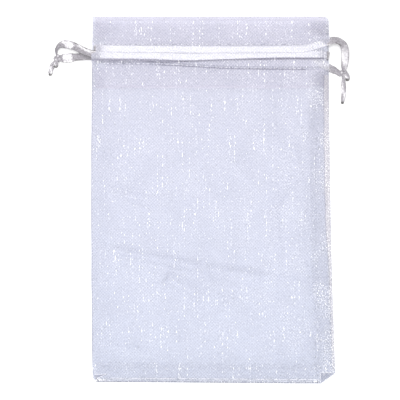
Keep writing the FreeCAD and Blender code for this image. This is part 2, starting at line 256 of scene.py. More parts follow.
def creases(x, y):
    depth = 0.0
    point = Vector((x, y))
    for start, end, deep, wide in CREASES:
        start, end = Vector(start), Vector(end)
        along = end - start
        share = clamp((point - start).dot(along) / along.length_squared)
        away = (point - start - along * share).length
        wander = 1 + 0.5 * ripple(x / 9, y / 9, deep * 40)
        fade = ease(0, 0.12, share) * (1 - 0.7 * ease(0.88, 1, share))
        if away < 4 * wide:
            depth += deep * wander * fade * math.exp(-((away / wide) ** 2))
    return depth


def front_height(x, y):
    share = loft_share(x, y)
    body = ease(52, 24, y)
    height = NECK_HEIGHT + (BODY_HEIGHT - NECK_HEIGHT) * body
    height += body * (0.6 * ripple(x / 26, y / 36, 4.0) + 0.22 * ripple(x / 8, y / 20, 5.0))
    frill = ease(UPPER_ROW_Y, FRONT_TOP_Y, y)
    height += frill * (0.5 * ripple(x / 8.5, y / 30, 6.0) - 0.6)
    height += 0.35 * ease(UPPER_ROW_Y - 0.4, UPPER_ROW_Y + 1.5, y)
    height += puckers(x, y) - row_pinch(x, y) - creases(x, y)
    height += (CHANNEL_HEIGHT - height) * over_ribbons(x, y)
    return EDGE_HEIGHT + (height - EDGE_HEIGHT) * share


def front_hem_height(x, y):
    """The hem lies just under the front, and under the ribbons in the channel."""
    gap = 0.14 + 0.70 * over_ribbons(x, y)
    return front_height(x, y) - gap * loft_share(x, y)


def back_height(x, y):
    height = 0.16 + 0.08 * ripple(x / 11, y / 15, 8.0)
    frill = ease(UPPER_ROW_Y + 3, BACK_TOP_Y, y)
    left = rise_from_edge(x - left_edge_x(y), BACK_REACH)
    right = rise_from_edge(right_edge_x(y) - x, BACK_REACH)
    height += frill * left * right * (0.5 + 0.45 * ripple(x / 10, y / 20, 9.0))
    return height + (EDGE_HEIGHT - 0.05 - height) * (1 - left * right)


def back_hem_height(x, y):
    pucker = 0.12 * ripple(x / 1.8, y / 9, 10.0)
    inside = in_channel(x, y)
    return back_height(x, y) + 0.22 + 1.0 * inside + pucker * (1 - inside)


# ------------------------------ materials
WAVE_SPACING = 0.314  # how far apart a wave texture's bands are at scale 1
HATCH_PITCH = 0.95
END_GAP = 1000.0  # added to the distance along a drawstring, in mm, to tell it from a tail
BACK_STRAND = (22, 26)  # where the free back strand ends, in mm from its knot
FRONT_STRAND = (209, 213)  # where the free front strand begins, in mm from the same end
# Between which values of its noise each kind of mark on the cloth fades in.
SLUB_GLINT_CHANCE = (0.675, 0.72)
DASH_CHANCE = (0.57, 0.63)
TRAIN_CHANCE = (0.66, 0.72)
SHADOW_SPECK_CHANCE = (0.345, 0.295)
SPECK_CHANCE = (0.56, 0.68)
MEAN_WEAVE = 0.22  # what the threads add to the cover on average


def node_material(name):
    material = bpy.data.materials.new(name)
    material.use_nodes = True
    tree = material.node_tree
    return material, tree, tree.nodes["Principled BSDF"]


def set_inputs(tree, node, inputs):
    """Sets inputs of a node to constants, or links them to other nodes' outputs."""
    for name, source in inputs.items():
        if isinstance(source, bpy.types.NodeSocket):
            tree.links.new(source, node.inputs[name])
        else:
            node.inputs[name].default_value = source


def add_node(tree, kind, inputs):
    node = tree.nodes.new(f"ShaderNode{kind}")
    set_inputs(tree, node, inputs)
    return node


def math_node(tree, operation, first, second):
    node = add_node(tree, "Math", {0: first, 1: second})
    node.operation = operation
    return node.outputs[0]


def flat_vector(tree, turn=0.0, scale=(1, 1)):
    """The cloth's own flat coordinates in metres, turned by some degrees and scaled."""
    flat = tree.nodes.new("ShaderNodeUVMap").outputs[0]
    inputs = {"Vector": flat, "Rotation": (0, 0, math.radians(turn)), "Scale": (*scale, 1)}
    return add_node(tree, "Mapping", inputs).outputs[0]


def stretched_noise(tree, size, turn=0.0, detail=2.0):
    """Noise on the flat cloth, whose grains have the given width and height in mm."""
    flat = flat_vector(tree, turn, (1 / (size[0] * MM), 1 / (size[1] * MM)))
    inputs = {"Vector": flat, "Scale": 1.0, "Detail": detail}
    return add_node(tree, "TexNoise", inputs).outputs["Fac"]


def thread_waves(tree, pitch, direction, turn=0.0, distortion=0.6):
    """Lines on the flat cloth at a pitch in mm."""
    scale = WAVE_SPACING / (pitch * MM)
    inputs = {"Vector": flat_vector(tree, turn), "Scale": scale, "Distortion": distortion}
    wave = add_node(tree, "TexWave", inputs)
    wave.bands_direction = direction
    return wave.outputs["Fac"]


def ramp(tree, source, low, high):
    """0 where the source is low, 1 where it is high and straight between them."""
    inputs = {"Value": source, "From Min": low, "From Max": high}
    return add_node(tree, "MapRange", inputs).outputs["Result"]


def add_bump(tree, shader, height, strength, distance):
    inputs = {"Height": height, "Strength": strength, "Distance": distance * MM}
    tree.links.new(add_node(tree, "Bump", inputs).outputs[0], shader.inputs["Normal"])


def scaled(tree, source, factor):
    return math_node(tree, "MULTIPLY", source, factor)


def added(tree, first, *others):
    for other in others:
        first = math_node(tree, "ADD", first, other)
    return first


def glints(tree):
    """Thick places in the upright threads, painted white as highlights: short ones anywhere, and
    trains of them on a few.
    """
    dots = ramp(tree, stretched_noise(tree, (0.36, 1.1)), *SLUB_GLINT_CHANCE)
    dashes = ramp(tree, stretched_noise(tree, (0.38, 1.3)), *DASH_CHANCE)
    chosen = ramp(tree, stretched_noise(tree, (0.7, 16), detail=0.0), *TRAIN_CHANCE)
    trains = scaled(tree, dashes, chosen)
    return math_node(tree, "MAXIMUM", dots, trains)


def flat_place(tree):
    """The two texture coordinates of the cloth, in metres."""
    flat = tree.nodes.new("ShaderNodeUVMap").outputs[0]
    parts = add_node(tree, "SeparateXYZ", {0: flat})
    return parts.outputs["X"], parts.outputs["Y"]


def over_seam(tree):
    """1 where the cloth lies over the allowance of the side seam, and 0 elsewhere."""
    return ramp(tree, flat_place(tree)[0], 38 * MM, 43 * MM)


def painted_shadow_specks(tree):
    """Small dark specks painted in as the shadows of the slubs, more of them over the side seam."""
    specks = stretched_noise(tree, (0.55, 0.75), turn=8)
    extra = scaled(tree, over_seam(tree), -0.03)
    return ramp(tree, added(tree, specks, extra), *SHADOW_SPECK_CHANCE)


def sparkle(tree):
    """Painted sparkle highlights: slanting specks where the weaves beat, in patches, and more of them
    near the sewn side.
    """
    specks = ramp(tree, stretched_noise(tree, (0.38, 0.6), turn=35), *SPECK_CHANCE)
    patches = ramp(tree, stretched_noise(tree, (9, 16), detail=1.0), 0.46, 0.60)
    beside_seam = ramp(tree, flat_place(tree)[0], 0.0, 45 * MM)
    amount = added(tree, scaled(tree, beside_seam, 0.7), 0.4, scaled(tree, over_seam(tree), 0.8))
    return scaled(tree, specks, scaled(tree, patches, amount))


def slanting_hatch(tree):
    """Crossing slanted lines, about a millimetre apart, where layers of weave beat together."""
    rising, falling = (
        thread_waves(tree, HATCH_PITCH, "X", turn, distortion=1.2) for turn in (45, -45)
    )
    product = scaled(tree, rising, falling)
    patches = ramp(tree, stretched_noise(tree, (11, 13), detail=1.0), 0.3, 0.7)
    amount = added(tree, scaled(tree, patches, 0.5), 0.35)
    return scaled(tree, product, amount)


def mixed_colour(tree, factor, first, second):
    mix = tree.nodes.new("ShaderNodeMix")
    mix.data_type = "RGBA"
    for name, colour in (("A", first), ("B", second)):
        socket = next(item for item in mix.inputs if item.name == name and item.type == "RGBA")
        if isinstance(colour, tuple):
            socket.default_value = (*colour, 1)
        else:
            tree.links.new(colour, socket)
    tree.links.new(factor, mix.inputs["Factor"])
    return next(item for item in mix.outputs if item.type == "RGBA")


def organza_material(name, cool, warm, shaded, alpha, glint_strength):
    """Sheer weave: fine threads both ways, slubs with painted highlights, painted shadow specks and a
    patchy painted sparkle.
    """
    material, tree, shader = node_material(name)
    warp = ramp(tree, thread_waves(tree, 0.34, "X"), 0.25, 0.75)
    weft = ramp(tree, thread_waves(tree, 0.38, "Y"), 0.25, 0.75)
    weave = math_node(tree, "MAXIMUM", warp, weft)
    clouds = scaled(tree, stretched_noise(tree, (9, 7), detail=3.0), 40 * MM)
    height = added(tree, flat_place(tree)[1], clouds)
    warmth = ramp(tree, height, -55 * MM, 100 * MM)
    grain = ramp(tree, stretched_noise(tree, (0.5, 0.7), detail=1.0), 0.32, 0.68)
    shadow_speck_mask = painted_shadow_specks(tree)
    bright = added(
        tree, scaled(tree, glints(tree), glint_strength),
        scaled(tree, sparkle(tree), 0.55 * glint_strength),
    )
    cloth = mixed_colour(tree, warmth, cool, warm)
    shade = added(
        tree, scaled(tree, grain, 0.5), scaled(tree, weave, 0.1),
        scaled(tree, slanting_hatch(tree), 1.1),
    )
    cloth = mixed_colour(tree, ramp(tree, shade, 0.1, 0.85), shaded, cloth)
    # painted shadow specks: small dark specks mixed into the base colour
    cloth = mixed_colour(tree, shadow_speck_mask, cloth, SHADOW_SPECK_COLOUR)
    # painted highlights: the glints and the sparkle turn the base colour white
    cloth = mixed_colour(tree, bright, cloth, (1.0, 1.0, 1.0))
    cover = added(
        tree, scaled(tree, bright, 0.7), scaled(tree, weave, 0.30),
        scaled(tree, shadow_speck_mask, 0.25 * glint_strength), alpha - MEAN_WEAVE,
    )
    cover.node.use_clamp = True
    add_bump(tree, shader, added(tree, weave, grain), 0.3, 0.03)
    finish = {"Roughness": 0.5, "Specular IOR Level": 0.25, "Sheen Weight": 0.1}
    set_inputs(tree, shader, {"Base Color": cloth, "Alpha": cover, **finish})
    return material


def satin_material():
    """Woven ribbon: fine threads across it, painted shade along the edges of its free strands, darker
    tips and a strong soft gloss.
    """
    material, tree, shader = node_material("satin_ribbon")
    from_middle, from_end = flat_place(tree)
    across = math_node(tree, "ABSOLUTE", from_middle, 0)
    edge_shade_breaks = ramp(tree, stretched_noise(tree, (3.0, 1.1), detail=1.0), 0.42, 0.60)
    back_end, back_fade = ((END_GAP + distance) * MM for distance in BACK_STRAND)
    front_fade, front_start = ((END_GAP + distance) * MM for distance in FRONT_STRAND)
    on_back_strand = ramp(tree, from_end, back_fade, back_end)
    on_front_strand = ramp(tree, from_end, front_fade, front_start)
    free = math_node(tree, "MAXIMUM", on_back_strand, on_front_strand)
    # painted shade along the ribbon's edges, on its free strands only, broken into dashes
    painted_edge_shade = ramp(tree, across, 1.12 * MM, 1.36 * MM)
    painted_edge_shade = scaled(tree, scaled(tree, painted_edge_shade, edge_shade_breaks), free)
    # darker over the last 0.5 to 1.3 mm of each tail's far end
    away_from_tip = ramp(tree, from_end, 0.5 * MM, 1.3 * MM)
    at_tip = math_node(tree, "SUBTRACT", 1.0, away_from_tip)
    weft = thread_waves(tree, 0.22, "Y")
    streaks = stretched_noise(tree, (0.5, 3.0), detail=3.0)
    flecks = stretched_noise(tree, (0.7, 0.55), detail=1.0)
    tone = added(
        tree, scaled(tree, weft, 0.12), scaled(tree, streaks, 0.45),
        scaled(tree, flecks, 0.75),
    )
    tone = ramp(tree, tone, 0.45, 0.85)
    colour = mixed_colour(tree, tone, SATIN_SHADE, SATIN_LIGHT)
    colour = mixed_colour(tree, scaled(tree, painted_edge_shade, 0.85), colour, SATIN_DARK)
    colour = mixed_colour(tree, at_tip, colour, SATIN_DARK)
    crumple = added(tree, scaled(tree, free, 1.0), 1.0)
    add_bump(tree, shader, scaled(tree, tone, crumple), 0.36, 0.07)
    finish = {"Roughness": 0.3, "Specular IOR Level": 1.0, "IOR": 1.65}
    set_inputs(tree, shader, {"Base Color": colour, **finish})
    return material


def thread_material(name, shade, light):
    """Twisted thread with shaded and bright stretches."""
    material, tree, shader = node_material(name)
    twist = thread_waves(tree, 0.5, "DIAGONAL")
    lit = ramp(tree, stretched_noise(tree, (0.7, 0.8), detail=1.0), 0.40, 0.54)
    colour = mixed_colour(tree, lit, shade, light)
    add_bump(tree, shader, twist, 0.5, 0.05)
    set_inputs(tree, shader, {"Base Color": colour, "Roughness": 0.5})
    return material


THREAD_SHADE = (0.24, 0.25, 0.30)
THREAD_LIGHT = (0.94, 0.94, 0.98)
PALE_THREAD_SHADE = (0.72, 0.72, 0.78)
PALE_THREAD_LIGHT = (0.96, 0.96, 1.0)
# the colour of the painted shadow specks
SHADOW_SPECK_COLOUR = (0.27, 0.29, 0.31)
SATIN_SHADE = (0.19, 0.175, 0.20)
SATIN_LIGHT = (0.46, 0.44, 0.475)
SATIN_DARK = (0.05, 0.045, 0.045)  # painted shade along the edges of the free strands, and the darker tips of the tails
# The cool cloth, the warm cloth, the shade between the threads, how much the cloth covers, and
# how strong its glints are.
CLOTHS = {
    "front": ((0.77, 0.82, 0.95), (0.80, 0.78, 0.89), (0.44, 0.46, 0.58), 0.42, 1.0),
    # back: the same organza as the front, made darker as painted shade under the front layer
    "back": ((0.58, 0.62, 0.76), (0.59, 0.59, 0.71), (0.42, 0.44, 0.57), 0.5, 0.5),
    "hem": ((0.78, 0.76, 0.88), (0.82, 0.77, 0.88), (0.56, 0.54, 0.66), 0.29, 0.4),
    "seam": ((0.84, 0.87, 1.0), (0.88, 0.85, 0.97), (0.57, 0.58, 0.70), 0.12, 1.6),
    # fold: a dark cloth, painted shade for the tucks under the drawstring and beside the lower stitch
    # row
    "fold": ((0.36, 0.36, 0.44), (0.38, 0.36, 0.44), (0.24, 0.24, 0.32), 0.52, 0.5),
    # flap: darker than the front, for the extra layers of the folded corners and as painted shade
    # along the rolled bottom and the left fold
    "flap": ((0.48, 0.50, 0.60), (0.50, 0.49, 0.58), (0.32, 0.33, 0.42), 0.4, 0.3),
    # rib: the turned seam's cloth, paler than the front as a painted highlight along the rib
    "rib": ((0.95, 0.94, 0.99), (0.97, 0.92, 0.95), (0.60, 0.58, 0.66), 0.55, 1.4),
    # rib_shadow: a darker cloth, painted shade beside that rib
    "rib_shadow": ((0.66, 0.67, 0.76), (0.70, 0.65, 0.72), (0.44, 0.44, 0.52), 0.25, 1.4),
}
ORGANZA = {name: organza_material(f"organza_{name}", *looks) for name, looks in CLOTHS.items()}
SATIN = satin_material()
THREAD = thread_material("sewing_thread", THREAD_SHADE, THREAD_LIGHT)
PALE_THREAD = thread_material("pale_thread", PALE_THREAD_SHADE, PALE_THREAD_LIGHT)


# ------------------------------ mesh helpers
def mesh_object(name, points, faces, flat_points, material):
    """A smooth mesh from points in mm; flat_points are its texture coordinates in metres."""
    mesh = bpy.data.meshes.new(name)
    mesh.from_pydata([Vector(point) * MM for point in points], [], faces)
    layer = mesh.uv_layers.new(name="flat")
    for loop in mesh.loops:
        layer.data[loop.index].uv = flat_points[loop.vertex_index]
    mesh.polygons.foreach_set("use_smooth", [True] * len(mesh.polygons))
    mesh.materials.append(material)
    piece = bpy.data.objects.new(name, mesh)
    bpy.context.scene.collection.objects.link(piece)
    return piece


def grid_object(name, columns, rows, place, material):
    """An open sheet: place(column, row) gives a point in mm."""
    points = [place(column, row) for row in rows for column in columns]
    flat_points = [(point[0] * MM, point[1] * MM) for point in points]
    wide = len(columns)
    faces = []
    for row in range(len(rows) - 1):
        for column in range(wide - 1):
            corner = row * wide + column
            faces.append((corner, corner + 1, corner + 1 + wide, corner + wide))
    return mesh_object(name, points, faces, flat_points, material)


def steps(low, high, spacing):
    """Even numbers from low up to but not including high."""
    count = max(1, round((high - low) / spacing))
    return [low + (high - low) * index / count for index in range(count)]


def smooth_line(name, route):
    """Points in mm along the NURBS curve that has the route's points as its control points."""
    curve = bpy.data.curves.new(name, "CURVE")
    curve.dimensions = "3D"
    curve.resolution_u = 14
    spline = curve.splines.new("NURBS")
    spline.points.add(len(route) - 1)
    for point, place in zip(spline.points, route):
        point.co = (place[0] * MM, place[1] * MM, place[2] * MM, 1)
    spline.order_u = 3
    spline.use_endpoint_u = True
    holder = bpy.data.objects.new(name, curve)
    line = bpy.data.meshes.new_from_object(holder)
    points = [vertex.co / MM for vertex in line.vertices]
    bpy.data.objects.remove(holder)
    bpy.data.meshes.remove(line)
    return points


def between(table, place):
    """The numbers at a place in a table of (place, number, ...), eased between its rows."""
    for before, after in zip(table, table[1:]):
        if place <= after[0]:
            share = ease(before[0], after[0], place)
            return [a + (b - a) * share for a, b in zip(before[1:], after[1:])]
    return table[-1][1:]


def path_length(path):
    return sum((after - before).length for before, after in zip(path, path[1:]))


TAPE_COLUMNS = 9  # points across each face of a ribbon, closer together at its edges
EDGE_SHADE_TURN = 15  # degrees of turn from which a ribbon shows the whole of its painted edge shade


def tape_object(name, path, shape, thick=RIBBON_THICK, end_gap=END_GAP):
    """A ribbon along path. shape is a table of (distance in mm, width, turn in degrees, cup).

    Its texture coordinates are the distances from its middle line and from its far end, and
    end_gap is added to the second.
    """
    whole = path_length(path)
    start_along = (path[1] - path[0]).normalized()
    side = Vector((0, 1, 0)) if abs(start_along.y) < 0.7 else Vector((1, 0, 0))
    distance = 0.0
    points, flat_points = [], []
    previous = None
    for index, centre in enumerate(path):
        before = path[max(0, index - 1)]
        after = path[min(len(path) - 1, index + 1)]
        along = (after - before).normalized()
        if previous is not None:
            distance += (centre - path[index - 1]).length
            side = previous.rotation_difference(along) @ side
        side.z = 0.0
        side = (side - along * side.dot(along)).normalized()
        previous = along
        width, turn, cup = between(shape, distance)
        # On a turned ribbon the first texture coordinate reaches further out, so the painted edge
        # shade shows more there.
        edge = RIBBON_WIDTH / 2 * (0.8 + 0.2 * min(1.0, abs(turn) / EDGE_SHADE_TURN))
        across = Matrix.Rotation(math.radians(turn), 3, along) @ side
        up = along.cross(across)
        for layer, order in ((0.5, range(TAPE_COLUMNS)), (-0.5, reversed(range(TAPE_COLUMNS)))):
            for column in order:
                share = math.sin((column / (TAPE_COLUMNS - 1) - 0.5) * math.pi)
                round_edge = math.sqrt(max(0.0, 1 - abs(share) ** 6))
                offset = up * (layer * thick * (0.25 + 0.75 * round_edge) + cup * share * share)
                points.append(centre + across * (share * width / 2) + offset)
                flat_points.append((share * edge * MM, (whole - distance + end_gap) * MM))
    ring = 2 * TAPE_COLUMNS
    last = (len(path) - 1) * ring
    faces = []
    for index in range(len(path) - 1):
        for column in range(ring):
            nearby = (column + 1) % ring
            start = index * ring
            faces.append(
                (start + column, start + nearby, start + ring + nearby, start + ring + column)
            )
    faces.append(tuple(reversed(range(ring))))
    faces.append(tuple(range(last, last + ring)))
    return mesh_object(name, points, faces, flat_points, SATIN)


# ------------------------------ camera
VIEW_CENTRE_X = -5.7
VIEW_WIDTH = 168.0
LENS_MM = 200.0
SENSOR_MM = 36.0
FAR_CLIP = 20  # in metres


def add_camera():
    data = bpy.data.cameras.new("camera")
    data.lens = LENS_MM
    data.sensor_width = SENSOR_MM
    data.clip_end = FAR_CLIP
    camera = bpy.data.objects.new("camera", data)
    away = VIEW_WIDTH * LENS_MM / SENSOR_MM
    camera.location = Vector((VIEW_CENTRE_X, 0.0, FRONT_HIGH.z / 2 + away)) * MM
    bpy.context.scene.collection.objects.link(camera)
    bpy.context.scene.camera = camera


add_camera()

# ------------------------------ drawstrings
# Each route goes from the knot up the front strand, through the front of the channel, round the
# turn at the far side, back through the back of the channel and along the back strand.
LEFT_ROUTE = [
    (-65.8, 60.5, 1.9),
    (-66.2, 62.3, 2.9),
    (-65.2, 64.4, 4.1),
    (-62.6, 65.5, 4.9),
    (-59.3, 64.9, 5.2),
    (-56.0, 63.0, 5.9),
    (-52.7, 61.6, 6.45),
    (-49.4, 60.75, 6.45),
    (-46.0, 60.75, 6.42),
    (-26.0, 60.65, 6.4),
    (-12.0, 59.85, 6.4),
    (5.0, 60.45, 6.4),
    (26.0, 61.2, 6.4),
    (42.0, 61.1, 6.42),
    (46.4, 60.9, 6.1),
    (48.5, 60.6, 4.2),
    (48.5, 60.35, 1.0),
    (45.3, 60.35, 0.95),
    (12.0, 60.3, 0.95),
    (-20.0, 60.4, 0.95),
    (-51.0, 60.35, 1.0),
    (-54.2, 60.35, 1.025),
    (-58.4, 60.15, 1.1),
    (-61.9, 59.7, 1.2),
    (-64.6, 59.65, 1.3),
]
RIGHT_ROUTE = [
    (54.7, 54.0, 2.0),
    (55.0, 56.6, 3.2),
    (55.3, 59.6, 3.6),
    (55.3, 62.8, 3.9),
    (54.2, 66.0, 5.0),
    (51.0, 67.4, 6.2),
    (47.4, 66.2, 6.5),
    (43.2, 64.7, 6.56),
    (38.8, 63.5, 6.6),
    (36.0, 63.2, 6.6),
    (10.0, 63.0, 6.6),
    (-18.0, 63.1, 6.6),
    (-44.5, 63.4, 6.56),
    (-48.3, 63.6, 6.2),
    (-50.3, 63.65, 4.2),
    (-50.3, 63.65, 0.6),
    (-47.2, 63.5, 0.55),
    (-18.0, 63.3, 0.55),
    (10.0, 63.3, 0.55),
    (35.0, 63.3, 0.55),
    (38.0, 63.3, 0.55),
    (42.0, 60.5, 0.55),
    (45.8, 57.0, 0.575),
    (49.2, 55.4, 0.6),
    (51.8, 54.3, 0.9),
    (53.8, 52.6, 1.3),
]
# Distance along the ribbon from the knot, width, turn in degrees, and cup.
LEFT_SHAPE = [
    (0, 1.3, 66, 0.0),
    (4.0, 2.3, 52, 0.1),
    (6.0, 3.1, 30, 0.2),
    (7.8, 3.3, 2, 0.05),
    (10.3, 3.3, 0, 0.05),
    (12.5, 3.3, 22, 0.3),
    (18.0, 3.2, 16, 0.4),
    (21.5, RIBBON_WIDTH, 20, 0.15),
    (24.5, RIBBON_WIDTH, 0, 0.0),
    (217.0, RIBBON_WIDTH, 0, 0.0),
    (223.0, 3.1, 26, 0.1),
    (229.5, 3.3, 24, 0.1),
    (231.0, 3.7, 2, 0.05),
    (234.0, 3.6, 2, 0.1),
    (236.0, 2.8, 30, 0.05),
    (240.0, 1.4, 45, 0.0),
]
RIGHT_SHAPE = [
    (0, 1.5, -34, 0.0),
    (2.5, 2.6, -8, 0.05),
    (6.0, 3.2, 0, 0.05),
    (10.5, 3.2, 2, 0.05),
    (13.0, 3.3, 30, 0.2),
    (18.5, 3.3, 28, 0.15),
    (22.5, RIBBON_WIDTH, 0, 0.0),
    (221.0, RIBBON_WIDTH, 0, 0.0),
    (224.5, 3.2, 22, 0.15),
    (227.0, 2.5, 30, 0.1),
    (231.0, 1.5, 45, 0.0),
]
TAIL_ROUTES = {
    "left_long_tail": [(-66.4, 58.9, 1.2), (-67.7, 57.0, 1.0), (-68.6, 54.8, 0.8), (-68.9, 52.4, 0.5)],
    "left_short_tail": [(-65.9, 58.7, 2.1), (-66.3, 57.3, 2.0), (-66.6, 55.7, 1.7)],
    "right_long_tail": [
        (54.6, 52.2, 1.2),
        (54.7, 49.4, 1.0),
        (54.9, 46.6, 0.8),
        (54.7, 43.6, 0.6),
        (54.2, 40.5, 0.5),
    ],
    "right_short_tail": [(55.8, 53.6, 2.5), (56.4, 52.0, 2.4), (56.2, 50.1, 2.0)],
}


def make_tail(name, node, body):
    path = smooth_line(name, TAIL_ROUTES[name])
    length = path_length(path)
    shape = [
        (0, 1.2, 30, 0.0),
        (length * 0.35, TAIL_WIDTH, 20, 0.2),
        (length * 0.8, TAIL_WIDTH * 0.9, -10, 0.15),
        (length, TAIL_WIDTH * 0.55, -18, 0.05),
    ]
    tail = tape_object(name, path, shape, end_gap=0.0)
    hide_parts(node)
    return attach(tail, body)


KNOT_STEPS = 90
KNOT_THICK = 0.55
KNOT_WIDTH = 1.25
KNOT_CUP = 0.15
KNOT_TURN = {"left": 25, "right": -20}


def make_knot(name, node, body, turn):
    """An overhand knot pulled tight: one ribbon wound through itself."""
    low, high = box_mm(node)
    centre = (low + high) / 2
    path = []
    for index in range(KNOT_STEPS + 1):
        angle = 2 * math.pi * index / KNOT_STEPS
        across = math.sin(angle) + 2 * math.sin(2 * angle)
        along = math.cos(angle) - 2 * math.cos(2 * angle)
        above = -math.sin(3 * angle)
        point = Vector((across * 0.38, along * 0.34, above * 0.42))
        path.append(centre + Matrix.Rotation(math.radians(turn), 3, "Z") @ point)
    shape = [(0, KNOT_WIDTH, 0, KNOT_CUP), (1000, KNOT_WIDTH, 0, KNOT_CUP)]
    knot = tape_object(name, path, shape, thick=KNOT_THICK)
    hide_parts(node)
    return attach(knot, body)


def make_drawstring(side, route, shape):
    body = f"{side}_drawstring"
    path = smooth_line(f"{side}_line", route)
    ribbon = tape_object(f"{side}_ribbon", path, shape)
    parts = ("front_run", "back_run", "turn", "front_strand", "back_strand")
    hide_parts(*(f"{body}_{part}" for part in parts))
    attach(ribbon, body)
    knot = make_knot(f"{side}_knot", f"{body}_knot", body, KNOT_TURN[side])
    tails = [
        make_tail(f"{side}_{size}_tail", f"{body}_{size}_tail", body) for size in ("long", "short")
    ]


make_drawstring("left", LEFT_ROUTE, LEFT_SHAPE)
make_drawstring("right", RIGHT_ROUTE, RIGHT_SHAPE)

# ------------------------------ cloth pieces
# Each layer is two pieces that share the line x = 0.
CLOTH_COLUMNS = 92
HEM_INSET = 1.2
TURN_INSET = 5.2  # how much further in a hem stops beside a ribbon's turn


def follow_neck(piece, side):
    """Bakes the piece's transform into its mesh and gives the piece back."""
    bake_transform(piece)
    return piece


def cloth_rows(low, high):
    """Heights y of the rows of a layer: close together at the bottom and in the channel."""
    stops = [(BOTTOM_Y + 5, 0.5), (52.0, 1.0), (UPPER_ROW_Y + 1.5, 0.26), (high, 0.5)]
    rows = []
    start = low
    for stop, spacing in stops:
        if stop > start:
            rows += steps(start, stop, spacing)
            start = stop
    return rows + [high]


def cloth_half(name, side, low, high, height, material, edge_of):
    """Half of a layer: from x = 0 to the left or the right edge."""
    shares = []
    for index in range(CLOTH_COLUMNS + 1):
        share = index / CLOTH_COLUMNS
        shares.append(0.7 * share + 0.3 * math.sin(share * math.pi / 2))
    if side == "left":
        shares.reverse()

    def place(share, y):
        rest = (high - y) / (high - low)
        x = share * edge_of(y)
        lift = (bottom_y(x) - BOTTOM_Y) * rest if low == BOTTOM_Y else 0.0
        return (x, y + lift, height(x, y + lift))

    piece = grid_object(name, shares, cloth_rows(low, high), place, material)
    return follow_neck(piece, side)


def hem_edge(edge_of):
    """A hem stops short of the seam, and further back beside the ribbon's turn."""

    def edge(y):
        inset = HEM_INSET + TURN_INSET * window(y, 56.5, 66.5, 2.5)
        x = edge_of(y)
        return x - math.copysign(inset, x)

    return edge


def front_left_edge_x(y):
    return left_edge_x(y) + LEFT_NOTCH * window(y, 61.9, 64.2, 0.9)


def front_right_edge_x(y):
    return right_edge_x(y) - RIGHT_NOTCH * window(y, 58.0, 65.4, 1.1)


EDGES = {"left": left_edge_x, "right": right_edge_x}
FRONT_EDGES = {"left": front_left_edge_x, "right": front_right_edge_x}
LAYERS = {  # the node, its low and high ends, its height, its cloth, and whether it is a hem
    "back": ("back_panel", BOTTOM_Y, BACK_TOP_Y, back_height, ORGANZA["back"], False),
    "front": ("front_panel", BOTTOM_Y, FRONT_TOP_Y, front_height, ORGANZA["front"], False),
    "front_hem": (
        "front_hem_facing", HEM_END_Y, FRONT_TOP_Y - 0.05, front_hem_height, ORGANZA["hem"], True,
    ),
    "back_hem": (
        "back_hem_facing", HEM_END_Y, BACK_TOP_Y - 0.05, back_hem_height, ORGANZA["hem"], True,
    ),
}
for side, edge_of in EDGES.items():
    for layer, (node, low, high, height, material, is_hem) in LAYERS.items():
        edge = hem_edge(edge_of) if is_hem else edge_of
        if layer == "front":
            edge = FRONT_EDGES[side]
        piece = cloth_half(f"{layer}_{side}", side, low, high, height, material, edge)
        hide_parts(node)


# ------------------------------ thread
TUBE_SIDES = 6


def tube_points(centre, along, radius):
    across = along.orthogonal().normalized()
    up = along.cross(across)
    ring = []
    for index in range(TUBE_SIDES):
        angle = 2 * math.pi * index / TUBE_SIDES
        ring.append(centre + across * (radius * math.cos(angle)) + up * (radius * math.sin(angle)))
    return ring


def add_tube(points, faces, line, radii):
    """Adds a closed tube along a line of points to the lists."""
    start = len(points)
    for index, (centre, radius) in enumerate(zip(line, radii)):
        before = line[max(0, index - 1)]
        after = line[min(len(line) - 1, index + 1)]
        points += tube_points(centre, (after - before).normalized(), radius)
    for index in range(len(line) - 1):
        low = start + index * TUBE_SIDES
        high = low + TUBE_SIDES
        for column in range(TUBE_SIDES):
            nearby = (column + 1) % TUBE_SIDES
            faces.append((low + column, low + nearby, high + nearby, high + column))
    faces.append(tuple(reversed(range(start, start + TUBE_SIDES))))
    last = start + (len(line) - 1) * TUBE_SIDES
    faces.append(tuple(range(last, last + TUBE_SIDES)))


def thread_object(name, lines, radius, material=THREAD):
    """One piece of many short threads, each a line of points, thinner at its ends."""
    points, faces = [], []
    for line in lines:
        count = len(line)
        swells = [math.sin(math.pi * (index + 0.5) / count) for index in range(count)]
        add_tube(points, faces, line, [radius * (0.45 + 0.55 * swell) for swell in swells])
    flat_points = [(point.x * MM, point.y * MM) for point in points]
    return mesh_object(name, points, faces, flat_points, material)


STITCH_LENGTH = 1.5
STITCH_GAP = 0.55
THREAD_RADIUS = 0.1
STITCH_POINTS = 7
STITCH_RISE = 0.1
STITCH_HUMP = 0.12
ROW_START = 0.3
UPPER_ROW_RIGHT = 35.5  # the upper row ends here, before the right drawstring's way out


def stitch_lines(start_x, end_x, row_y, height):
    """Short stitches that dive into the cloth at both ends."""
    lines = []
    x = min(start_x, end_x)
    stop = max(start_x, end_x)
    while x + STITCH_LENGTH < stop:
        line = []
        for index in range(STITCH_POINTS):
            share = index / (STITCH_POINTS - 1)
            place = x + STITCH_LENGTH * share
            y = row_y(place)
            hump = STITCH_RISE + STITCH_HUMP * math.sin(math.pi * share)
            line.append(Vector((place, y, height(place, y) + hump)))
        lines.append(line)
        x += STITCH_LENGTH + STITCH_GAP
    return lines


def upper_row(x):
    return UPPER_ROW_Y + 0.12 * ripple(x / 20, 1.0, 11.0)


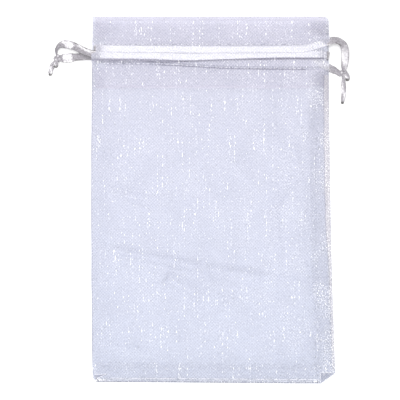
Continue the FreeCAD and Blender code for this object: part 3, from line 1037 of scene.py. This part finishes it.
for side in EDGES:
    sign = 1 if side == "right" else -1
    far = HEM_HIGH.x if side == "right" else -HEM_LOW.x
    upper_far = UPPER_ROW_RIGHT if side == "right" else far + 3
    rows = (
        ("front_upper_stitch", upper_row, front_height, upper_far),
        ("front_lower_stitch", lower_row_y, front_height, far + 3),
        ("back_upper_stitch", upper_row, back_hem_height, far),
        ("back_lower_stitch", lower_row_y, back_hem_height, far),
    )
    for node, row_y, height, end_x in rows:
        lines = stitch_lines(sign * ROW_START, sign * end_x, row_y, height)
        stitches = thread_object(f"{node}_{side}", lines, THREAD_RADIUS)
        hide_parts(node)
        follow_neck(stitches, side)

# ------------------------------ seams
SEAM_WIDTH = SEAM_HIGH.y - SEAM_LOW.y - BOTTOM_SKEW
SEAM_HEIGHT = 0.34
LOOP_PITCH = 0.62  # of the overlock loops, which run between these two insets from the edge
LOOP_INSETS = (0.25, 1.75)
LOOP_RADIUS = 0.15
RAW_PITCH = 1.3  # of the looser threads along the allowance's raw edge
RAW_INSETS = (5.6, 8.3)
RAW_RADIUS = 0.07
SIDE_LOW_Y = BOTTOM_Y + CORNER_CUT_Y + 0.5
SIDE_HIGH_Y = RIGHT_SLIT[0] - RIGHT_SLIT[2]
FRILL_LOW_Y = RIGHT_SLIT[1] + 1.6
FRILL_HIGH_Y = FRONT_TOP_Y - 0.6
BOTTOM_START_X = LEFT_X + 1.4
BOTTOM_STOP_X = RIGHT_X - CORNER_CUT_X - 0.6


def beside_right(along, inset, lift):
    x = right_edge_x(along) - inset
    return Vector((x, along, SEAM_HEIGHT + lift + 0.05 * ripple(x / 2, along / 2, 12.0)))


def beside_bottom(along, inset, lift):
    y = bottom_y(along) + inset
    return Vector((along, y, SEAM_HEIGHT + lift + 0.05 * ripple(along / 2, y / 2, 13.0)))


def seam_band(seam, place, low, high):
    """The allowance that lies inside the pouch beside its edge."""
    alongs = steps(low, high, 1.0) + [high]
    insets = [0.1 + SEAM_WIDTH * share for share in (0.0, 0.15, 0.35, 0.55, 0.78, 1.0)]
    upright = place is beside_right

    def put(column, row):
        along, inset = (row, column) if upright else (column, row)
        return place(along, inset, 0.0)

    columns, rows = (insets[::-1], alongs) if upright else (alongs, insets)
    band = grid_object(f"{seam}_band", columns, rows, put, ORGANZA["seam"])
    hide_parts(f"{seam}_allowance")
    return band


def zigzag(place, low, high, pitch, insets, rng):
    """Threads that run in and out across the edge of the cloth."""
    points = []
    along = low
    while along < high:
        inset = insets[len(points) % 2] + rng.uniform(-0.15, 0.15)
        points.append(place(along, inset, 0.12 + rng.uniform(0.0, 0.1)))
        along += pitch / 2 * rng.uniform(0.7, 1.3)
    middle_lift = Vector((0, 0, 0.06))
    return [[a, (a + b) / 2 + middle_lift, b] for a, b in zip(points, points[1:])]


def needle_line(place, low, high, inset):
    """A row of straight stitches beside the edge."""
    lines = []
    for along in steps(low, high, STITCH_LENGTH + STITCH_GAP):
        stop = min(high, along + STITCH_LENGTH)
        middle = place((along + stop) / 2, inset, 0.2)
        lines.append([place(along, inset, 0.1), middle, place(stop, inset, 0.1)])
    return lines


def overlock(seam, place, low, high, rng):
    """The seam's thread: close loops at the edge, a needle line, and loops at the raw edge."""
    name = f"{seam}_overlock"
    lines = zigzag(place, low, high, LOOP_PITCH, LOOP_INSETS, rng)
    lines += needle_line(place, low, high, LOOP_INSETS[1])
    loops = thread_object(name, lines, LOOP_RADIUS)
    raw_lines = zigzag(place, low, high, RAW_PITCH, RAW_INSETS, rng)
    raw = thread_object(f"{name}_raw_edge", raw_lines, RAW_RADIUS)
    for piece in (loops, raw):
        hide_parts(f"{seam}_stitch")
    return [loops, raw]


SEAM_RANDOM = random.Random(11)
SEAMS = {
    "side_seam": (beside_right, SIDE_LOW_Y, SIDE_HIGH_Y),
    "frill_seam": (beside_right, FRILL_LOW_Y, FRILL_HIGH_Y),
    "bottom_seam": (beside_bottom, BOTTOM_START_X, BOTTOM_STOP_X),
}
seam_pieces = {}
for seam, (place, low, high) in SEAMS.items():
    pieces = [seam_band(seam, place, low, high)] + overlock(seam, place, low, high, SEAM_RANDOM)
    for piece in pieces:
        if place is beside_right:
            follow_neck(piece, "right")
        else:
            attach(piece, "pouch")
    seam_pieces[seam] = pieces

# ------------------------------ folds pressed on the front
FOLD_RISE = 0.03
BOTTOM_ROLL = 0.5
EDGE_THREAD_RADIUS = 0.1
BOTTOM_LINE_INSET = 6.0
LEFT_ROLL_HIGH_Y = 56.0
RIB_HIGH_Y = 52.6
RIB_WIDTH_LOW = 0.9
RIB_WIDENING = 1.3
RIB_SHADOW_WIDTH = 0.4
# Each tuck across the pouch: the y of its upper edge, its depth, how far it reaches from the
# middle of the pouch to each side, and its cloth.
TUCKS = {
    # painted shade: a dark strip where the front folds under the drawstring's lower edge
    "ribbon_shadow_fold": (
        lambda x: lower_ribbon_y(x) - RIBBON_WIDTH / 2,
        lambda x: 0.35 + 0.8 * (1 - ease(-24, -6, x)) + 0.45 * ease(8, 24, x),
        {"left": -LEFT_X + 0.2, "right": right_edge_x(59.0) - 2.4},
        "fold",
    ),
    # painted shade: a dark strip where the front folds beside the lower stitch row
    "row_shadow_fold": (
        lambda x: lower_row_y(x) - 0.1,
        lambda x: 0.06 + 0.4 * ease(-30, -18, x) + 0.1 * ease(5, 20, x),
        {"left": 40.0, "right": 38.5},
        "fold",
    ),
    # the rolled bottom edge, darkened with painted shade
    "bottom_shaded_fold": (
        lambda x: bottom_y(x) + BOTTOM_ROLL,
        lambda x: BOTTOM_ROLL * (0.85 + 0.15 * ripple(x / 6, 0.0, 15.0)),
        {"left": -BOTTOM_START_X, "right": BOTTOM_STOP_X + 0.5},
        "flap",
    ),
    "hem_fold": (
        lambda x: HEM_END_Y + 0.2 + 0.15 * ripple(x / 12, 0.0, 17.0),
        lambda x: 1.1 + 0.3 * ripple(x / 5, 0.0, 18.0),
        {"left": 49.5, "right": 40.0},
        "hem",
    ),
}


def make_tuck(name, side):
    """A narrow fold pressed flat on the front, across half of the pouch; in the dark fold cloth it is
    painted shade.
    """
    upper_edge, depth, reach, cloth_name = TUCKS[name]
    sign = 1 if side == "right" else -1
    columns = [sign * x for x in steps(0.0, reach[side], 1.0) + [reach[side]]]
    if side == "left":
        columns.reverse()

    def place(x, share):
        y = upper_edge(x) - depth(x) * (1 - share) * (1 + 0.35 * ripple(x / 9, 0.0, 14.0))
        return (x, y, front_height(x, y) + FOLD_RISE)

    rows = [0.0, 0.35, 0.7, 1.0]
    tuck = grid_object(f"{name}_{side}", columns, rows, place, ORGANZA[cloth_name])
    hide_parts("front_panel")
    return follow_neck(tuck, side)


def edge_strip(name, side, columns, low, high, edge_at, material):
    """A strip pressed flat on the front along one of its upright edges."""

    def place(column, y):
        x = edge_at(column, y)
        return (x, y, front_height(x, y) + FOLD_RISE)

    strip = grid_object(name, columns, steps(low, high, 1.5) + [high], place, material)
    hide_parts("front_panel")
    return follow_neck(strip, side)


def left_roll():
    """The fold line of the left edge, darkened with painted shade."""

    def edge_at(inset, y):
        return left_edge_x(y) + inset * (1 + 0.6 * ripple(y / 7, 0.0, 16.0))

    ends = BOTTOM_Y + 4, LEFT_ROLL_HIGH_Y
    return edge_strip("left_edge_shaded_fold", "left", [0.03, 0.2, 0.4], *ends, edge_at, ORGANZA["flap"])


def right_rib(name, inner, outer, material):
    """Part of the rib that the turned seam makes beside the sewn edge, wider towards the top; one call
    lays the pale cloth as its painted highlight, the other the dark cloth as painted shade beside it.
    """

    def edge_at(share, y):
        width = RIB_WIDTH_LOW + RIB_WIDENING * ease(-35, -5, y)
        inset = inner(width) + (outer(width) - inner(width)) * share
        return right_edge_x(y) - inset * (1 + 0.12 * ripple(y / 6, 0.0, 19.0))

    ends = SIDE_LOW_Y + 1.0, RIB_HIGH_Y
    return edge_strip(name, "right", [0.0, 0.33, 0.67, 1.0], *ends, edge_at, material)


def corner_flap(name, first, second, inner):
    """A small triangle of cloth folded back at a bottom corner, with thread on its two sides."""
    first, second, inner = Vector(first), Vector(second), Vector(inner)

    def on_front(point, rise):
        return Vector((point.x, point.y, front_height(point.x, point.y) + rise))

    def place(along, inward):
        outer = first + (second - first) * along
        return on_front(outer + (inner - outer) * inward, FOLD_RISE)

    shares = [0.0, 0.25, 0.5, 0.75, 1.0]
    inwards = [0.04, 0.25, 0.5, 0.75, 0.97]
    flap = grid_object(name, shares, inwards, place, ORGANZA["flap"])
    lines = []
    for end in (first, second):
        lines.append([on_front(end + (inner - end) * share, 0.06) for share in shares])
    sewn = thread_object(f"{name}_thread", lines, EDGE_THREAD_RADIUS, PALE_THREAD)
    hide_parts("bottom_seam_allowance")
    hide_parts("bottom_seam_stitch")
    for piece in (flap, sewn):
        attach(piece, "pouch")
    return [flap, sewn]


def bottom_line():
    """The needle thread that shows through along the bottom, in long uneven pieces."""
    rng = random.Random(5)
    lines = []
    x = BOTTOM_START_X + BOTTOM_LINE_INSET
    while x < BOTTOM_STOP_X - 2:
        stop = min(BOTTOM_STOP_X, x + rng.uniform(3.0, 9.0))
        line = []
        for index in range(STITCH_POINTS):
            along = x + (stop - x) * index / (STITCH_POINTS - 1)
            y = bottom_y(along) + LOOP_INSETS[1] + rng.uniform(-0.06, 0.06)
            line.append(Vector((along, y, front_height(along, y) + 0.05)))
        lines.append(line)
        x = stop + rng.uniform(0.2, 0.9)
    thread = thread_object("bottom_needle_line", lines, EDGE_THREAD_RADIUS, PALE_THREAD)
    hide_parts("bottom_seam_stitch")
    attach(thread, "pouch")
    return thread


folds = {side: [make_tuck(name, side) for name in TUCKS] for side in EDGES}
folds["left"].append(left_roll())
folds["right"] += [
    right_rib("right_edge_rib_highlight", lambda width: width, lambda width: 0.12, ORGANZA["rib"]),
    right_rib(
        "right_edge_shadow_strip", lambda width: width + RIB_SHADOW_WIDTH, lambda width: width,
        ORGANZA["rib_shadow"],
    ),
]
seam_pieces["bottom_seam"] += corner_flap(
    "right_corner_flap",
    (RIGHT_X - CORNER_CUT_X - 0.1, BOTTOM_Y + 0.15), (RIGHT_X - 0.45, BOTTOM_Y + CORNER_CUT_Y),
    (RIGHT_X - CORNER_CUT_X - 0.3, BOTTOM_Y + CORNER_CUT_Y + 0.2),
)
seam_pieces["bottom_seam"] += corner_flap(
    "left_corner_flap",
    (LEFT_X + 0.35, BOTTOM_Y + 3.6), (LEFT_X + 0.9, BOTTOM_Y + 1.6), (LEFT_X + 6.0, BOTTOM_Y + 4.2),
)
seam_pieces["bottom_seam"].append(bottom_line())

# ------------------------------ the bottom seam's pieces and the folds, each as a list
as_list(seam_pieces["bottom_seam"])
for side in EDGES:
    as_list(folds[side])


# ------------------------------ floor and light
# These are in metres and watts.
FLOOR_HALF = 0.5
FLOOR_Z = -0.0004
AMBIENT = 0.36
BACKDROP = 1.0
KEY_PLACE, KEY_SIZE, KEY_POWER = (-0.05, 0.08, 1.15), 0.62, 15.5
FILL_PLACE, FILL_SIZE, FILL_POWER = (-0.8, 0.5, 0.8), 0.5, 1.5


def add_floor():
    mesh = bpy.data.meshes.new("floor")
    corners = [
        (x * FLOOR_HALF, y * FLOOR_HALF, FLOOR_Z) for x, y in ((-1, -1), (1, -1), (1, 1), (-1, 1))
    ]
    mesh.from_pydata(corners, [], [(0, 1, 2, 3)])
    floor = bpy.data.objects.new("floor", mesh)
    bpy.context.scene.collection.objects.link(floor)
    material, tree, shader = node_material("pale_floor")
    looks = {"Base Color": (0.93, 0.93, 0.93, 1), "Roughness": 0.9, "Specular IOR Level": 0.1}
    set_inputs(tree, shader, looks)
    mesh.materials.append(material)
    floor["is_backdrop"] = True


def add_area_light(name, place, size, power):
    data = bpy.data.lights.new(name, "AREA")
    data.shape = "DISK"
    data.size = size
    data.energy = power
    light = bpy.data.objects.new(name, data)
    light.location = place
    light.rotation_euler = (-Vector(place)).to_track_quat("-Z", "Y").to_euler()
    bpy.context.scene.collection.objects.link(light)


def add_world(strength, backdrop):
    """Even light from all round, with a paler backdrop behind the object."""
    world = bpy.data.worlds.new("world")
    world.use_nodes = True
    tree = world.node_tree
    seen = tree.nodes.new("ShaderNodeLightPath").outputs["Is Camera Ray"]
    inputs = {"Value": seen, "To Min": strength, "To Max": backdrop}
    glow = add_node(tree, "MapRange", inputs).outputs["Result"]
    set_inputs(tree, tree.nodes["Background"], {"Color": (1, 1, 1, 1), "Strength": glow})
    bpy.context.scene.world = world


add_floor()
add_world(AMBIENT, BACKDROP)
add_area_light("key", KEY_PLACE, KEY_SIZE, KEY_POWER)
add_area_light("fill", FILL_PLACE, FILL_SIZE, FILL_POWER)
bpy.context.scene.view_settings.view_transform = "Standard"

# ------------------------------ boxes round the CAD parts and round the visual pieces
boxes = {"cad": cad_box, "visual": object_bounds()}
{name: [list(corner) for corner in box] for name, box in boxes.items()}
